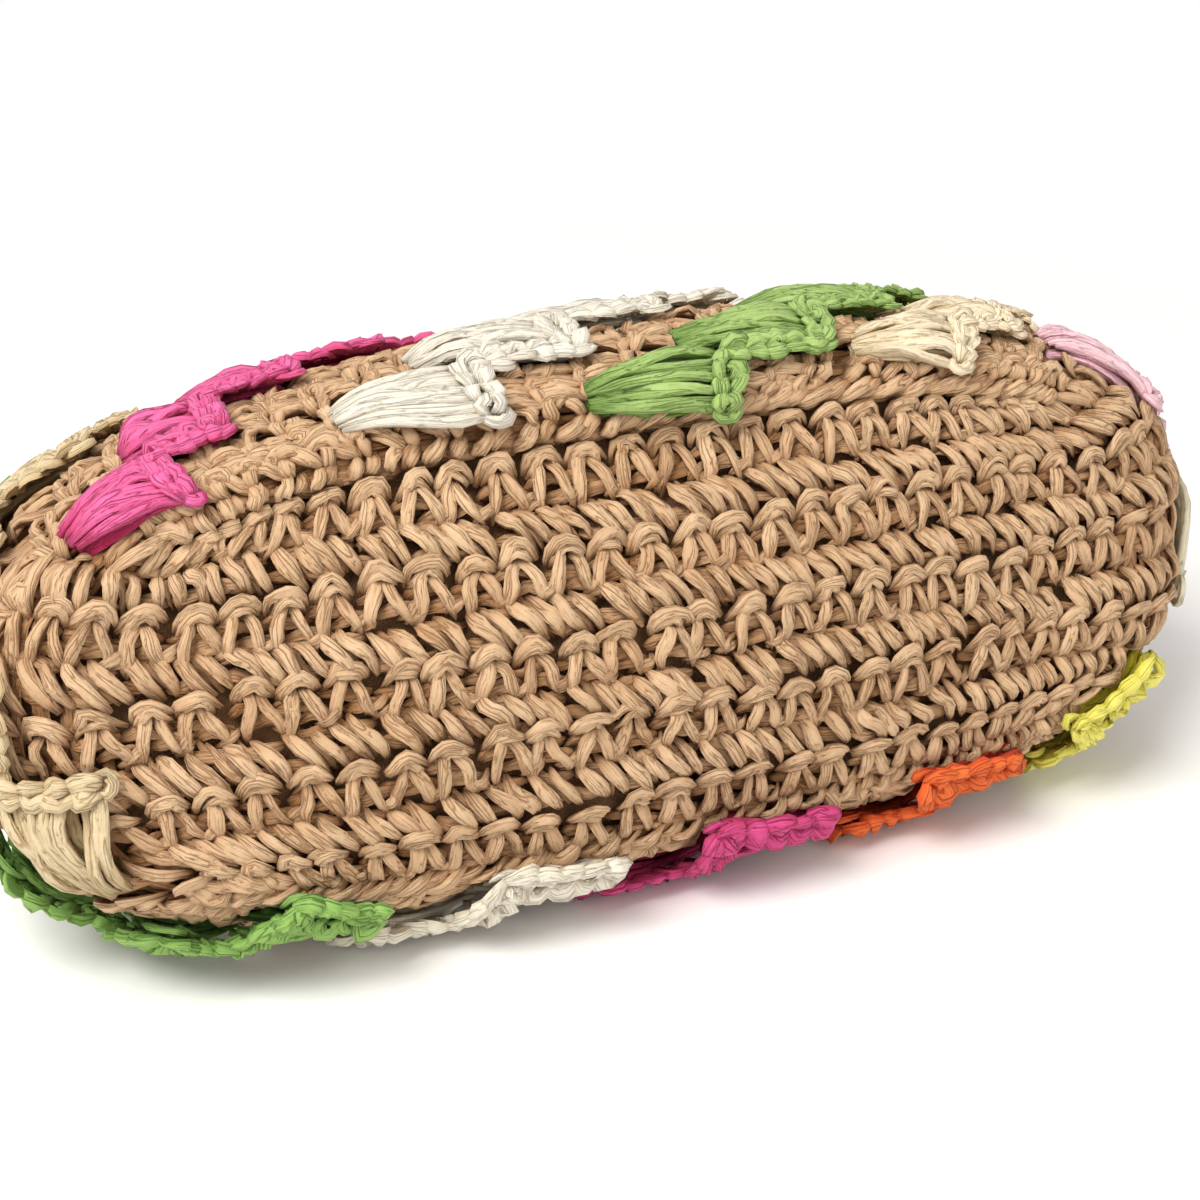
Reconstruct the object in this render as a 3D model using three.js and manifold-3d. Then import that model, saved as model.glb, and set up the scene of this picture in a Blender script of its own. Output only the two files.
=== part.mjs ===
// A crocheted paper-straw handbag that lies on its back face, with its base turned to the front (-Y).
// The mouth opens to +Y. Millimetres, +Z up, the origin under the middle of the whole bag.
import Module from "manifold-3d";
import * as THREE from "three";
import { mergeVertices } from "three/addons/utils/BufferGeometryUtils.js";

// The oblong base panel, worked in straight rows along X.
const PANEL_LENGTH = 252;
const PANEL_HEIGHT = 92;
const PANEL_LEAN = THREE.MathUtils.degToRad(20);
const PANEL_DOME = 12;
const PANEL_LIFT = 23;
const PANEL_ROUNDNESS = 3.6;
const CORNER_REACH = 6;
const BASE_STITCHES = 24;
const BASE_ROWS = 9;
const CELLS_PER_ROW = 2;

// The side, worked round the panel: a rounded shoulder, then the body up to the mouth.
const SHOULDER_OUT_X = 32;
const SHOULDER_OUT_Z = 17;
const SHOULDER_DEPTH = 28;
const SHOULDER_RUN = 44;
const BODY_RUN = 156;
const BODY_ROUND_TOP = 2.5;
const BODY_ROUND_UNDER = 3.2;
const MOUTH_LENGTH = 286;
const MOUTH_HEIGHT = 54;
const UNDERSIDE_SETTLE = 0.96;
const SIDE_ROWS = 7;
const ROUND_LONG = 270;
const ROUND_END = 125;

// The crocheted wall: ridges along the rows, and gaps between the stitches of the base.
const WALL = 5;
const ROW_RELIEF = 1.8;
const GAP_SHARE = 0.46;

// The sewn lining.
const LINING_THICKNESS = 1;
const LINING_CLEARANCE = 1;
const LINING_SHORT_OF_RIM = 8;
const LINING_COLUMNS = 14;
const LINING_ROWS = 6;

// The coloured strips of stacked shell stitches that swirl up the side.
const STRIP_THICKNESS = 4.2;
const STRIP_CLEARANCE = 0.4;
const STRIP_SUNK = 2;
const STRIP_END = 180;
const SHELL_STEP_ROUND = 24;
const SHELL_STEP_UP = 19;
const SHELL_LENGTH = 34;
const SHELL_ROOT = 8;
const SHELL_TOP = 17;
const SHELL_DROP = 5;
const BAND_CELLS = 2;

// The two crocheted handles.
const HANDLE_DIAMETER = 13;
const HANDLE_SIDES = 8;
const HANDLE_STEPS = 30;
const HANDLE_SEAT = 0.3;
const HANDLE_STRAIGHT = 7;
const HANDLE_LIFT = 0.5;
const BACK_HANDLE_SPREAD = 132;
const BACK_HANDLE_REACH = 118;
const FRONT_HANDLE_SPREAD = 96;
const FRONT_HANDLE_REACH = 92;

const STRAW_BROWN = 0xb08a62;
const LINING_TAUPE = 0x8d7762;
// Each strip's name, its colour, and where its first shell is rooted: round the base, and up from its edge.
const STRIPS = [
  ["pink", 0xd94f8f, 776, 22],
  ["white", 0xefe9d8, 68, 22],
  ["green", 0x74a94f, 122, 12],
  ["beige", 0xdcc7a0, 187, 21],
  ["pale_pink", 0xeec3cf, 266, 34],
  ["ivory", 0xece3cb, 322, 38],
  ["yellow", 0xe6df6b, 370, 12],
  ["orange", 0xe2682f, 432, 9],
  ["magenta", 0xc93f82, 493, 9],
  ["cream", 0xf0e8d2, 549, 9],
  ["leaf_green", 0x6ea348, 611, 9],
  ["straw_beige", 0xd9c49b, 684, 12],
];

const FLOOR = STRIP_CLEARANCE + STRIP_THICKNESS;
const SIDE_RUN = SHOULDER_RUN + BODY_RUN;
const PERIMETER = 2 * (ROUND_LONG + ROUND_END);
const PANEL_NORMAL = new THREE.Vector3(0, -Math.cos(PANEL_LEAN), Math.sin(PANEL_LEAN));
const { clamp, lerp, smoothstep } = THREE.MathUtils;

// Collects quads in outward order and closes them into one mesh.
class Skin {
  corners = [];

  triangle(a, b, c) {
    this.corners.push(a, b, c);
  }

  quad(a, b, c, d) {
    this.triangle(a, b, c);
    this.triangle(a, c, d);
  }

  geometry() {
    const open = new THREE.BufferGeometry().setFromPoints(this.corners);
    return mergeVertices(open, 1e-3);
  }
}

const wasm = await Module();
wasm.setup();

function solidOf(geometry) {
  const vertProperties = new Float32Array(geometry.attributes.position.array);
  const triVerts = new Uint32Array(geometry.index.array);
  return new wasm.Manifold(new wasm.Mesh({ numProp: 3, vertProperties, triVerts }));
}

function geometryOf(solid) {
  const { vertProperties, triVerts } = solid.getMesh();
  const geometry = new THREE.BufferGeometry();
  geometry.setAttribute("position", new THREE.BufferAttribute(vertProperties, 3));
  geometry.setIndex(new THREE.BufferAttribute(triVerts, 1));
  return geometry;
}

// How far a point of a square's edge is drawn in to lie on a superellipse.
function drawIn(across, up, roundness) {
  return (Math.abs(across) ** roundness + Math.abs(up) ** roundness) ** (-1 / roundness);
}

// The base panel at across and up, each from -1 to 1, offset outwards along the panel's normal.
function panelPoint(across, up, offset) {
  const edge = Math.max(Math.abs(across), Math.abs(up));
  const round = edge > 0 ? edge * drawIn(across, up, PANEL_ROUNDNESS) : 1;
  const drawn = 1 + (round - 1) * edge ** CORNER_REACH;
  const x = (PANEL_LENGTH / 2) * across * drawn;
  const rise = (PANEL_HEIGHT / 2) * (1 + up * drawn);
  const dome = PANEL_DOME * (1 - across ** 2) * (1 - up ** 2);
  const foot = new THREE.Vector3(x, 0, PANEL_LIFT);
  foot.y += rise * Math.sin(PANEL_LEAN);
  foot.z += rise * Math.cos(PANEL_LEAN);
  return foot.addScaledVector(PANEL_NORMAL, dome + offset);
}

// The point of the unit square's edge at a run round the panel, clockwise from its upper left corner.
function squareEdge(round) {
  const along = ((round % PERIMETER) + PERIMETER) % PERIMETER;
  const half = PERIMETER / 2;
  const turned = along < half ? 1 : -1;
  const part = along % half;
  if (part < ROUND_LONG) return [turned * ((2 * part) / ROUND_LONG - 1), turned];
  return [turned, turned * (1 - (2 * (part - ROUND_LONG)) / ROUND_END)];
}

// The size and place of the side's ring at a run up from the panel's edge.
function sideRing(run) {
  const bend = (clamp(run / SHOULDER_RUN, 0, 1) * Math.PI) / 2;
  const body = clamp((run - SHOULDER_RUN) / BODY_RUN, 0, 1);
  const close = smoothstep(body, 0, 1);
  const lean = PANEL_LEAN * (1 - Math.sin(bend) / 2) * (1 - close);
  const halfLength = lerp(PANEL_LENGTH / 2 + SHOULDER_OUT_X * Math.sin(bend), MOUTH_LENGTH / 2, close);
  const halfHeight = lerp(PANEL_HEIGHT / 2 + SHOULDER_OUT_Z * Math.sin(bend), MOUTH_HEIGHT / 2, close);
  const settle = lerp(1, UNDERSIDE_SETTLE, Math.sin(bend));
  const underside = lerp(PANEL_LIFT, FLOOR, Math.sin(bend));
  const panelMiddle = (PANEL_HEIGHT / 2) * Math.sin(PANEL_LEAN);
  return {
    halfLength,
    halfHeight,
    lean,
    y: panelMiddle + SHOULDER_DEPTH * (1 - Math.cos(bend)) + BODY_RUN * body,
    z: underside + settle * halfHeight * Math.cos(lean),
    roundTop: lerp(PANEL_ROUNDNESS, BODY_ROUND_TOP, Math.sin(bend)),
    roundUnder: lerp(PANEL_ROUNDNESS, BODY_ROUND_UNDER, Math.sin(bend)),
  };
}

// The side's surface at a run round the panel and a run up from its edge.
function sideSurface(round, run) {
  const [across, up] = squareEdge(round);
  const ring = sideRing(run);
  const drawn = drawIn(across, up, up > 0 ? ring.roundTop : ring.roundUnder);
  const rise = ring.halfHeight * up * drawn;
  const z = ring.z + rise * Math.cos(ring.lean);
  const x = ring.halfLength * across * drawn;
  return new THREE.Vector3(x, ring.y + rise * Math.sin(ring.lean), Math.max(z, FLOOR));
}

// The side's outward normal, which meets the panel's own at the panel's edge.
function sideNormal(round, run) {
  if (run <= 0) return PANEL_NORMAL;
  const step = 0.5;
  const low = Math.max(run - step, 0);
  const along = sideSurface(round + step, run).sub(sideSurface(round - step, run));
  const upward = sideSurface(round, Math.min(run + step, SIDE_RUN)).sub(sideSurface(round, low));
  return along.cross(upward).normalize();
}

function sidePoint(round, run, offset) {
  return sideSurface(round, run).addScaledVector(sideNormal(round, run), offset);
}

// Even shares from 0 to 1, one more than the count of cells.
function shares(cells) {
  return Array.from({ length: cells + 1 }, (_, i) => i / cells);
}

// The runs round the panel of the grid's own edge points, so that the side meets the panel.
function edgeRuns(columns, rows) {
  const long = shares(columns).slice(0, -1).map((s) => s * ROUND_LONG);
  const short = shares(rows).slice(0, -1).map((s) => ROUND_LONG + s * ROUND_END);
  const half = [...long, ...short];
  return [...half, ...half.map((r) => r + PERIMETER / 2), PERIMETER];
}

// One wall of the bag between two offsets: the panel, the side up to a rim, and the rim's edge.
function bagWall({ columns, rows, outer, inner, rim, outerRuns, innerRuns, outerRelief, isGap }) {
  const skin = new Skin();
  const acrossAt = shares(columns).map((s) => 2 * s - 1);
  const upAt = shares(rows).map((s) => 2 * s - 1);
  const onEdge = (i, j) => i === 0 || j === 0 || i === columns || j === rows;
  const front = acrossAt.map((a, i) =>
    upAt.map((u, j) => panelPoint(a, u, outer - (onEdge(i, j) ? 0 : outerRelief(j)))),
  );
  const back = acrossAt.map((a) => upAt.map((u) => panelPoint(a, u, inner)));
  for (let i = 0; i < columns; i++) {
    for (let j = 0; j < rows; j++) {
      const cell = (grid) => [grid[i][j], grid[i + 1][j], grid[i + 1][j + 1], grid[i][j + 1]];
      if (isGap(i, j)) addGap(skin, cell(front), cell(back));
      else {
        skin.quad(...cell(front));
        skin.quad(...cell(back).reverse());
      }
    }
  }
  const rounds = edgeRuns(columns, rows);
  addSide(skin, rounds, outerRuns.map((s) => s * rim), (run, k) => outer - (k % 2 ? outerRelief(0) : 0), false);
  addSide(skin, rounds, innerRuns.map((s) => s * rim), () => inner, true);
  for (let n = 0; n + 1 < rounds.length; n++) {
    const [from, to] = [rounds[n], rounds[n + 1]];
    const corner = (round, offset) => sidePoint(round, rim, offset);
    skin.quad(corner(from, outer), corner(to, outer), corner(to, inner), corner(from, inner));
  }
  return skin.geometry();
}

// One face of the side, row by row from the panel's edge to the rim.
function addSide(skin, rounds, runs, offsetAt, inward) {
  for (let k = 0; k + 1 < runs.length; k++) {
    const low = rounds.map((round) => sidePoint(round, runs[k], offsetAt(runs[k], k)));
    const high = rounds.map((round) => sidePoint(round, runs[k + 1], offsetAt(runs[k + 1], k + 1)));
    for (let n = 0; n + 1 < rounds.length; n++) {
      const cell = [low[n], low[n + 1], high[n + 1], high[n]];
      skin.quad(...(inward ? cell.reverse() : cell));
    }
  }
}

// The bag's outer form, filled and clear of the wall, which the strips are cut to fit.
function stripForm() {
  const skin = new Skin();
  const columns = BASE_STITCHES;
  const rows = CELLS_PER_ROW * BASE_ROWS;
  const grid = shares(columns).map((a) =>
    shares(rows).map((u) => panelPoint(2 * a - 1, 2 * u - 1, STRIP_CLEARANCE)),
  );
  for (let i = 0; i < columns; i++) {
    for (let j = 0; j < rows; j++) {
      skin.quad(grid[i][j], grid[i + 1][j], grid[i + 1][j + 1], grid[i][j + 1]);
    }
  }
  const rounds = edgeRuns(columns, rows);
  const runs = shares(CELLS_PER_ROW * SIDE_ROWS).map((s) => s * SIDE_RUN);
  addSide(skin, rounds, runs, () => STRIP_CLEARANCE, false);
  const ring = sideRing(SIDE_RUN);
  const heart = new THREE.Vector3(0, ring.y, ring.z);
  const rim = rounds.map((round) => sidePoint(round, SIDE_RUN, STRIP_CLEARANCE));
  for (let n = 0; n + 1 < rim.length; n++) skin.triangle(rim[n], rim[n + 1], heart);
  return solidOf(skin.geometry());
}

// A cell of the wall with a square gap right through it.
function addGap(skin, front, back) {
  const holeOf = (cell) => {
    const middle = cell.reduce((sum, p) => sum.add(p), new THREE.Vector3()).divideScalar(cell.length);
    return cell.map((p) => middle.clone().lerp(p, GAP_SHARE));
  };
  const frontHole = holeOf(front);
  const backHole = holeOf(back);
  for (let n = 0; n < front.length; n++) {
    const next = (n + 1) % front.length;
    skin.quad(front[n], front[next], frontHole[next], frontHole[n]);
    skin.quad(back[next], back[n], backHole[n], backHole[next]);
    skin.quad(frontHole[n], frontHole[next], backHole[next], backHole[n]);
  }
}

// The brown crocheted body: ridged rows all over, and a gap at every second stitch of the base.
function crochetedBody() {
  return bagWall({
    columns: BASE_STITCHES,
    rows: CELLS_PER_ROW * BASE_ROWS,
    outer: 0,
    inner: -WALL,
    rim: SIDE_RUN,
    outerRuns: shares(CELLS_PER_ROW * SIDE_ROWS),
    innerRuns: shares(SIDE_ROWS),
    outerRelief: (j) => (j % CELLS_PER_ROW ? 0 : ROW_RELIEF),
    isGap: (i, j) => {
      const row = Math.floor(j / CELLS_PER_ROW);
      const inside = i > 0 && i < BASE_STITCHES - 1 && j > 0;
      return inside && j % CELLS_PER_ROW === 0 && (i + row) % 2 === 0;
    },
  });
}

// The sewn cloth bag inside, a little short of the rim.
function lining() {
  const outer = -(WALL + LINING_CLEARANCE);
  return bagWall({
    columns: LINING_COLUMNS,
    rows: LINING_ROWS,
    outer,
    inner: outer - LINING_THICKNESS,
    rim: SIDE_RUN - LINING_SHORT_OF_RIM,
    outerRuns: shares(SIDE_ROWS),
    innerRuns: shares(SIDE_ROWS),
    outerRelief: () => 0,
    isGap: () => false,
  });
}

// One strip of stacked shells: each shell fans out from its root to its row of stitch tops.
function shellStrip(startRound, startRun, form) {
  const left = [];
  const right = [];
  const notch = SHELL_STEP_UP - SHELL_DROP;
  const shells = Math.floor((STRIP_END - notch - startRun) / SHELL_STEP_UP) + 1;
  for (let k = 0; k < shells; k++) {
    const round = startRound + k * SHELL_STEP_ROUND;
    const run = startRun + k * SHELL_STEP_UP;
    left.push([round, run + SHELL_DROP / 2], [round, run + SHELL_ROOT]);
    left.push([round + SHELL_STEP_ROUND, run + notch]);
    right.push([round + SHELL_LENGTH, run - SHELL_DROP], [round + SHELL_LENGTH, run + SHELL_TOP - SHELL_DROP]);
    right.push([round + SHELL_LENGTH + SHELL_STEP_ROUND / 2, run + notch]);
  }
  return geometryOf(solidOf(bandBetween(left, right)).subtract(form));
}

// A closed band that lies on the side between two lines of points, thickest along its middle.
function bandBetween(left, right) {
  const skin = new Skin();
  const under = STRIP_CLEARANCE - STRIP_SUNK;
  const over = STRIP_CLEARANCE + STRIP_THICKNESS;
  const acrossAt = shares(BAND_CELLS);
  const point = (k, s, offset) => {
    const round = lerp(left[k][0], right[k][0], s);
    const run = Math.max(lerp(left[k][1], right[k][1], s), 0);
    return sidePoint(round, run, offset);
  };
  const sections = left.map((_, k) => ({
    under: acrossAt.map((s) => point(k, s, under)),
    over: acrossAt.map((s) => point(k, s, over)),
  }));
  for (let k = 0; k + 1 < sections.length; k++) {
    const [low, high] = [sections[k], sections[k + 1]];
    for (let m = 0; m + 1 < acrossAt.length; m++) {
      skin.quad(low.over[m], low.over[m + 1], high.over[m + 1], high.over[m]);
      skin.quad(high.under[m], high.under[m + 1], low.under[m + 1], low.under[m]);
    }
    const last = acrossAt.length - 1;
    skin.quad(low.under[0], low.over[0], high.over[0], high.under[0]);
    skin.quad(low.over[last], low.under[last], high.under[last], high.over[last]);
  }
  const [first, end] = [sections[0], sections[sections.length - 1]];
  for (let m = 0; m + 1 < acrossAt.length; m++) {
    skin.quad(first.under[m], first.under[m + 1], first.over[m + 1], first.over[m]);
    skin.quad(end.over[m], end.over[m + 1], end.under[m + 1], end.under[m]);
  }
  return skin.geometry();
}

// A round crocheted handle from one point of the rim to another, drooping to the surface beyond the mouth.
function handle(spread, reach, rimZ, farZ) {
  const rimY = sideRing(SIDE_RUN).y + HANDLE_SEAT;
  const half = spread / 2;
  const leg = [
    [1, 0, 0],
    [1, HANDLE_STRAIGHT / reach, 0],
    [1, 0.3, 0.35],
    [0.93, 0.62, 0.8],
    [0.55, 0.92, 1],
  ];
  const place = (side) => ([wide, out, down]) =>
    new THREE.Vector3(side * half * wide, rimY + reach * out, lerp(rimZ, farZ, down));
  const top = new THREE.Vector3(0, rimY + reach, farZ);
  const points = [...leg.map(place(-1)), top, ...leg.map(place(1)).reverse()];
  const path = new THREE.CatmullRomCurve3(points, false, "centripetal");
  const section = new THREE.Shape();
  for (let n = 0; n < HANDLE_SIDES; n++) {
    const angle = (n / HANDLE_SIDES) * 2 * Math.PI;
    const corner = [Math.cos(angle), Math.sin(angle)].map((c) => (c * HANDLE_DIAMETER) / 2);
    if (n === 0) section.moveTo(...corner);
    else section.lineTo(...corner);
  }
  section.closePath();
  const swept = new THREE.ExtrudeGeometry(section, { steps: HANDLE_STEPS, extrudePath: path });
  swept.deleteAttribute("normal");
  swept.deleteAttribute("uv");
  return mergeVertices(swept, 1e-3);
}

function straw(color) {
  return new THREE.MeshStandardMaterial({ color, roughness: 0.75, metalness: 0 });
}

const bag = new THREE.Group();

function add(name, geometry, material) {
  const mesh = new THREE.Mesh(geometry, material);
  mesh.name = name;
  bag.add(mesh);
}

add("crocheted_body", crochetedBody(), straw(STRAW_BROWN));
add("lining", lining(), new THREE.MeshStandardMaterial({ color: LINING_TAUPE, roughness: 0.9, metalness: 0 }));
const form = stripForm();
STRIPS.forEach(([name, color, startRound, startRun]) => {
  add(`${name}_shell_strip`, shellStrip(startRound, startRun, form), straw(color));
});

const mouth = sideRing(SIDE_RUN);
const handleRest = HANDLE_DIAMETER / 2 + HANDLE_LIFT;
const frontRimZ = mouth.z + mouth.halfHeight - WALL / 2;
const backRimZ = FLOOR + WALL / 2;
add("front_handle", handle(FRONT_HANDLE_SPREAD, FRONT_HANDLE_REACH, frontRimZ, handleRest), straw(STRAW_BROWN));
add(
  "back_handle",
  handle(BACK_HANDLE_SPREAD, BACK_HANDLE_REACH, Math.max(backRimZ, handleRest), handleRest),
  straw(STRAW_BROWN),
);

const bounds = new THREE.Box3().setFromObject(bag);
const middle = bounds.getCenter(new THREE.Vector3());
bag.position.set(-middle.x, -middle.y, -bounds.min.z);

export default bag;
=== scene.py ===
"""A crocheted paper-straw handbag that lies on its back face, with its base turned to the viewer."""

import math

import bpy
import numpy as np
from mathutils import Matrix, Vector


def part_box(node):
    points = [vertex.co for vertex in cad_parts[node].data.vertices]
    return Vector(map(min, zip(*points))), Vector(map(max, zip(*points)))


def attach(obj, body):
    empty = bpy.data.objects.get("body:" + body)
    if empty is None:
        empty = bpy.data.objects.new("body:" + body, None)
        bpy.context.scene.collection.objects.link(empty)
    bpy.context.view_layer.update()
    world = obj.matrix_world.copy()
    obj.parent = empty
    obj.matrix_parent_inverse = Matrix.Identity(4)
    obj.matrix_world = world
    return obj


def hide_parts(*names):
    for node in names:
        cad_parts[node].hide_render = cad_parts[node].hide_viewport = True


bl_info = {
    "name": "Crocheted straw handbag",
    "version": (1, 0, 0),
    "blender": (4, 5, 0),
    "location": "View3D > Sidebar > Handbag",
    "description": "Works a handbag in paper straw, stitch by stitch, over its solid model",
    "category": "Object",
}

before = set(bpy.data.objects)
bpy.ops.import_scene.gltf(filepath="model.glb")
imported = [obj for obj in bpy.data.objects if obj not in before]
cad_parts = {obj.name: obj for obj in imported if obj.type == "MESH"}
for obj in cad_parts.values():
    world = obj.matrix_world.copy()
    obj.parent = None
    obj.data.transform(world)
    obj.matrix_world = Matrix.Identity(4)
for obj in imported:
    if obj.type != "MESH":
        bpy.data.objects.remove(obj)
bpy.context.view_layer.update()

MM = 0.001

# The base panel, in millimetres.
PANEL_LENGTH = 252.0
PANEL_HEIGHT = 92.0
PANEL_LEAN = math.radians(20)
PANEL_DOME = 12.0
PANEL_LIFT = 23.0
PANEL_ROUNDNESS = 3.6
CORNER_REACH = 6
BASE_STITCHES = 24
BASE_ROWS = 9
STITCH = 10.4
END_STITCHES = 3

# Normals are read a little inside the panel's edge, over steps in stitches and in millimetres.
INNER_STITCHES = 0.9
INNER_ROWS = 0.6
PANEL_STEP = 0.15
SIDE_STEP = 1.5
TINY = 1e-9

# The side, worked round the panel up to the mouth.
SHOULDER_OUT_X = 32.0
SHOULDER_OUT_Z = 17.0
SHOULDER_DEPTH = 28.0
SHOULDER_RUN = 44.0
BODY_RUN = 156.0
BODY_ROUND_TOP = 2.5
BODY_ROUND_UNDER = 3.2
MOUTH_LENGTH = 286.0
MOUTH_HEIGHT = 54.0
UNDERSIDE_SETTLE = 0.96
ROUND_LONG = 270.0
ROUND_END = 125.0
FLOOR = 4.6
WALL = 5.0
SIDE_RUN = SHOULDER_RUN + BODY_RUN
PERIMETER = 2 * (ROUND_LONG + ROUND_END)
PANEL_MIDDLE_Y = PANEL_HEIGHT / 2 * math.sin(PANEL_LEAN)
PANEL_MIDDLE_Z = PANEL_LIFT + PANEL_HEIGHT / 2 * math.cos(PANEL_LEAN)
RIM_Y = PANEL_MIDDLE_Y + SHOULDER_DEPTH + BODY_RUN

# The strips of stacked shells; each first shell is rooted so far round the panel and so far up from its edge.
STRIP_END = 180.0
SHELL_STEP_ROUND = 24.0
SHELL_STEP_UP = 19.0
SHELL_NOTCH = 14.0
SHELL_LENGTH = 34.0
SHELL_POSTS = 7
STRIP_MARGIN = 2.0
STRIP_BELOW = 5.0
STRIP_STARTS = {
    "pink": (776.0, 22.0),
    "white": (68.0, 22.0),
    "green": (122.0, 12.0),
    "beige": (187.0, 21.0),
    "pale_pink": (266.0, 34.0),
    "ivory": (322.0, 38.0),
    "yellow": (370.0, 12.0),
    "orange": (432.0, 9.0),
    "magenta": (493.0, 9.0),
    "cream": (549.0, 9.0),
    "leaf_green": (611.0, 9.0),
    "straw_beige": (684.0, 12.0),
}

# One strand of a chain's link: shares along it and out from it, and its height in millimetres.
CHAIN_LINK = ((-0.15, 0.3, -1.6), (0.35, 1.0, 0.0), (0.8, 0.9, -0.2), (1.2, 0.1, -1.8))

# The heights between which strands are shaded from dark to light.
BROWN_DEPTHS = (-4.4, -0.6)
STRIP_DEPTHS = (-1.5, 2.8)

# The painted shade's colour, mixed in where strands are creased, sunk or turned away: its brightness and its
# depth of colour, and what each changes by as the paper gets paler.
PAINTED_SHADE_BRIGHTNESS = (0.6, 0.45)
PAINTED_SHADE_DEPTH = (3.2, -2.2)

# The lining, the handles and the room that the rim's rounds and the panel's edge keep.
LINING_OFFSET = -6.5
LINING_SHORT_OF_RIM = 8.0
HANDLE_RADIUS = 6.5
RIM_ROOM = 8.0
EDGE_ROOM = 4.0

# Where the model's own measuring point lies in the shared frame.
body_low, body_high = (np.array(corner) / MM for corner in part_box("crocheted_body"))
SHIFT = np.array([(body_low[0] + body_high[0]) / 2, body_high[1] - RIM_Y, body_low[2] - FLOOR])


def smoothstep(x):
    """Eases from 0 to 1 as x does."""
    x = np.clip(x, 0, 1)
    return x * x * (3 - 2 * x)


def draw_in(across, up, roundness):
    """How far a point of a square's edge is drawn in to lie on a superellipse."""
    total = np.abs(across) ** roundness + np.abs(up) ** roundness
    return np.maximum(total, TINY) ** (-1 / roundness)


def panel_surface(stitch, row):
    """The base panel's outer face, counted in stitches from its left and in rows from its lower edge."""
    across = 2 * stitch / BASE_STITCHES - 1
    up = 2 * row / BASE_ROWS - 1
    edge = np.maximum(np.maximum(np.abs(across), np.abs(up)), 1e-6)
    drawn = 1 + (edge * draw_in(across, up, PANEL_ROUNDNESS) - 1) * edge**CORNER_REACH
    rise = PANEL_HEIGHT / 2 * (1 + up * drawn)
    dome = PANEL_DOME * (1 - across**2) * (1 - up**2)
    y = rise * math.sin(PANEL_LEAN) - dome * math.cos(PANEL_LEAN)
    z = PANEL_LIFT + rise * math.cos(PANEL_LEAN) + dome * math.sin(PANEL_LEAN)
    return np.stack([PANEL_LENGTH / 2 * across * drawn, y, z], -1)


def square_edge(around):
    """The point of the unit square's edge at a run round the panel, clockwise from its upper left corner."""
    along = np.mod(around, PERIMETER)
    turned = np.where(along < PERIMETER / 2, 1.0, -1.0)
    part = np.mod(along, PERIMETER / 2)
    on_long = part < ROUND_LONG
    across = np.where(on_long, 2 * part / ROUND_LONG - 1, 1.0)
    up = np.where(on_long, 1.0, 1 - 2 * (part - ROUND_LONG) / ROUND_END)
    return turned * across, turned * up


def side_surface(around, run):
    """The side's outer face at a run round the panel and a run up from its edge."""
    across, up = square_edge(around)
    bend = np.sin(np.clip(run / SHOULDER_RUN, 0, 1) * math.pi / 2)
    fall = 1 - np.cos(np.clip(run / SHOULDER_RUN, 0, 1) * math.pi / 2)
    body = np.clip((run - SHOULDER_RUN) / BODY_RUN, 0, 1)
    close = smoothstep(body)
    lean = PANEL_LEAN * (1 - bend / 2) * (1 - close)
    wide = PANEL_LENGTH / 2 + SHOULDER_OUT_X * bend
    wide = wide + (MOUTH_LENGTH / 2 - wide) * close
    high = PANEL_HEIGHT / 2 + SHOULDER_OUT_Z * bend
    high = high + (MOUTH_HEIGHT / 2 - high) * close
    settle = 1 + (UNDERSIDE_SETTLE - 1) * bend
    underside = PANEL_LIFT + (FLOOR - PANEL_LIFT) * bend
    round_top = PANEL_ROUNDNESS + (BODY_ROUND_TOP - PANEL_ROUNDNESS) * bend
    round_under = PANEL_ROUNDNESS + (BODY_ROUND_UNDER - PANEL_ROUNDNESS) * bend
    drawn = draw_in(across, up, np.where(up > 0, round_top, round_under))
    rise = high * up * drawn
    y = PANEL_MIDDLE_Y + SHOULDER_DEPTH * fall + BODY_RUN * body + rise * np.sin(lean)
    z = underside + settle * high * np.cos(lean) + rise * np.cos(lean)
    return np.stack([wide * across * drawn, y, np.maximum(z, FLOOR)], -1)


def unit(vectors):
    """Vectors scaled to a length of one."""
    return vectors / np.maximum(np.linalg.norm(vectors, axis=-1, keepdims=True), TINY)


def surface_normal(surface, a, b, step):
    """The outward normal of a surface function, from the points a small step away."""
    along = surface(a + step, b) - surface(a - step, b)
    upward = surface(a, b + step) - surface(a, b - step)
    return unit(np.cross(along, upward))


def panel_point(points):
    """Places (stitch, row, height) over the panel; gives the point and the normal there."""
    a, b, height = points[..., 0], points[..., 1], points[..., 2]
    inner_a = np.clip(a, INNER_STITCHES, BASE_STITCHES - INNER_STITCHES)
    inner_b = np.clip(b, INNER_ROWS, BASE_ROWS - INNER_ROWS)
    normal = surface_normal(panel_surface, inner_a, inner_b, PANEL_STEP)
    return panel_surface(a, b) + normal * height[..., None], normal


def side_point(points):
    """Places (around, run, height) over the side; gives the point and the normal there."""
    a, b, height = points[..., 0], points[..., 1], points[..., 2]
    normal = surface_normal(side_surface, a, np.clip(b, SIDE_STEP, SIDE_RUN - SIDE_STEP), SIDE_STEP)
    placed = side_surface(a, b) + normal * height[..., None]
    placed[..., 1] += np.maximum(b - SIDE_RUN, 0)
    return placed, normal


def row_place(stitch, row):
    """Where on the side a stitch of the base's rows lies that has run past one of its ends."""
    up = ROUND_END * row / BASE_ROWS
    around = np.where(stitch < BASE_STITCHES / 2, PERIMETER - ROUND_END + up, PERIMETER / 2 - up)
    return around, STITCH * np.maximum(-stitch, stitch - BASE_STITCHES)


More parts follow.
